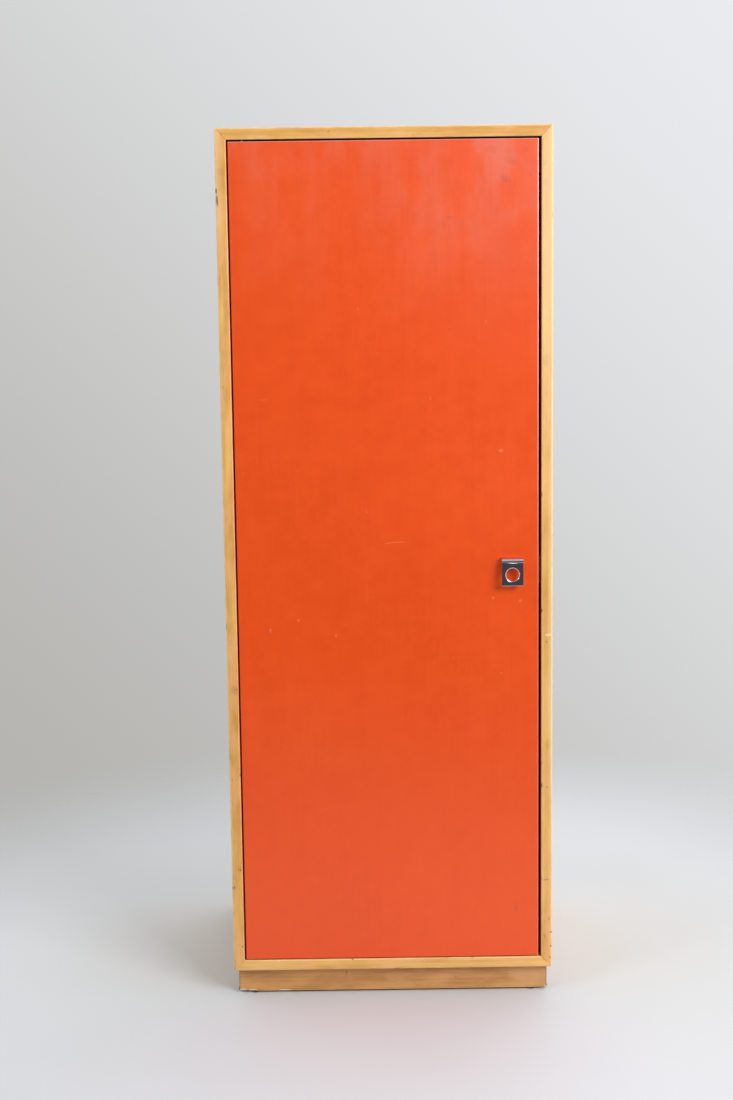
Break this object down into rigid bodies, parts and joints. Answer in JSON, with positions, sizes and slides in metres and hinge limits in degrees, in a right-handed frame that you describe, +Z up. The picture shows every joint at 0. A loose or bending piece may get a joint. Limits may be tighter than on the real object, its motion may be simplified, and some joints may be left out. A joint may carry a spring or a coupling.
{
  "type": "school locker",
  "caption": "Tall narrow wooden school locker with a mitred frame front, an inset painted door on concealed pivots, a plate pull with a finger hole, and a hat shelf and clothes rail inside.",
  "frame": {"origin": "on the floor, under the middle of the whole outline (the pull included)", "axes": "+Z up, the door faces -Y, +X to the right seen from the front"},
  "size_m": [0.6, 0.517, 1.6],
  "materials": {
    "wood_carcass": "satin",
    "wood_lipping": "satin",
    "plywood": "matte",
    "wood_plinth": "satin",
    "wood_door_inside": "matte",
    "orange_paint": "satin paint",
    "chrome": "polished",
    "zinc_steel": "zinc plated",
    "nylon": "matte",
    "ferrite": "matte",
    "dark_plastic": "matte",
    "felt": "felt"
  },
  "bodies": {
    "cabinet": {"left_side_panel": "wood_carcass", "right_side_panel": "wood_carcass", "top_panel": "wood_carcass", "bottom_panel": "wood_carcass", "left_lipping": "wood_lipping", "right_lipping": "wood_lipping", "top_lipping": "wood_lipping", "bottom_lipping": "wood_lipping", "corner_tongues": "plywood", "back_panel": "plywood", "back_panel_screws": "zinc_steel", "plinth_front": "wood_plinth", "plinth_back": "wood_plinth", "plinth_left": "wood_plinth", "plinth_right": "wood_plinth", "plinth_corner_blocks": "wood_plinth", "plinth_screws": "zinc_steel", "floor_glides": "dark_plastic", "hat_shelf": "wood_carcass", "hat_shelf_lipping": "wood_lipping", "shelf_pins": "zinc_steel", "clothes_rail": "chrome", "rail_socket_left": "chrome", "rail_socket_right": "chrome", "rail_socket_screws": "zinc_steel", "upper_frame_plate": "zinc_steel", "upper_pivot_bush": "nylon", "lower_frame_plate": "zinc_steel", "lower_pivot_pin": "zinc_steel", "thrust_washer": "nylon", "frame_plate_screws": "zinc_steel", "catch_housing": "nylon", "catch_magnet": "ferrite", "catch_pole_plates": "zinc_steel", "catch_screws": "zinc_steel", "door_stop_blocks": "wood_lipping", "door_stop_pads": "felt"},
    "door": {"door_left_stile": "orange_paint", "door_right_stile": "orange_paint", "door_top_rail": "orange_paint", "door_bottom_rail": "orange_paint", "door_core": "wood_door_inside", "door_front_skin": "orange_paint", "door_back_skin": "orange_paint", "upper_door_plate": "zinc_steel", "upper_pivot_pin": "zinc_steel", "lower_door_plate": "zinc_steel", "lower_pivot_bush": "nylon", "door_plate_screws": "zinc_steel", "strike_plate": "zinc_steel", "strike_screws": "zinc_steel", "pull_plate": "chrome", "pull_screws": "zinc_steel"}
  },
  "joints": [
    {"name": "door_hinge", "type": "hinge", "parent": "cabinet", "child": "door", "pos_m": [-0.2524, -0.232, 0.8], "axis": [0, 0, -1], "range_deg": [0, 110]}
  ]
}
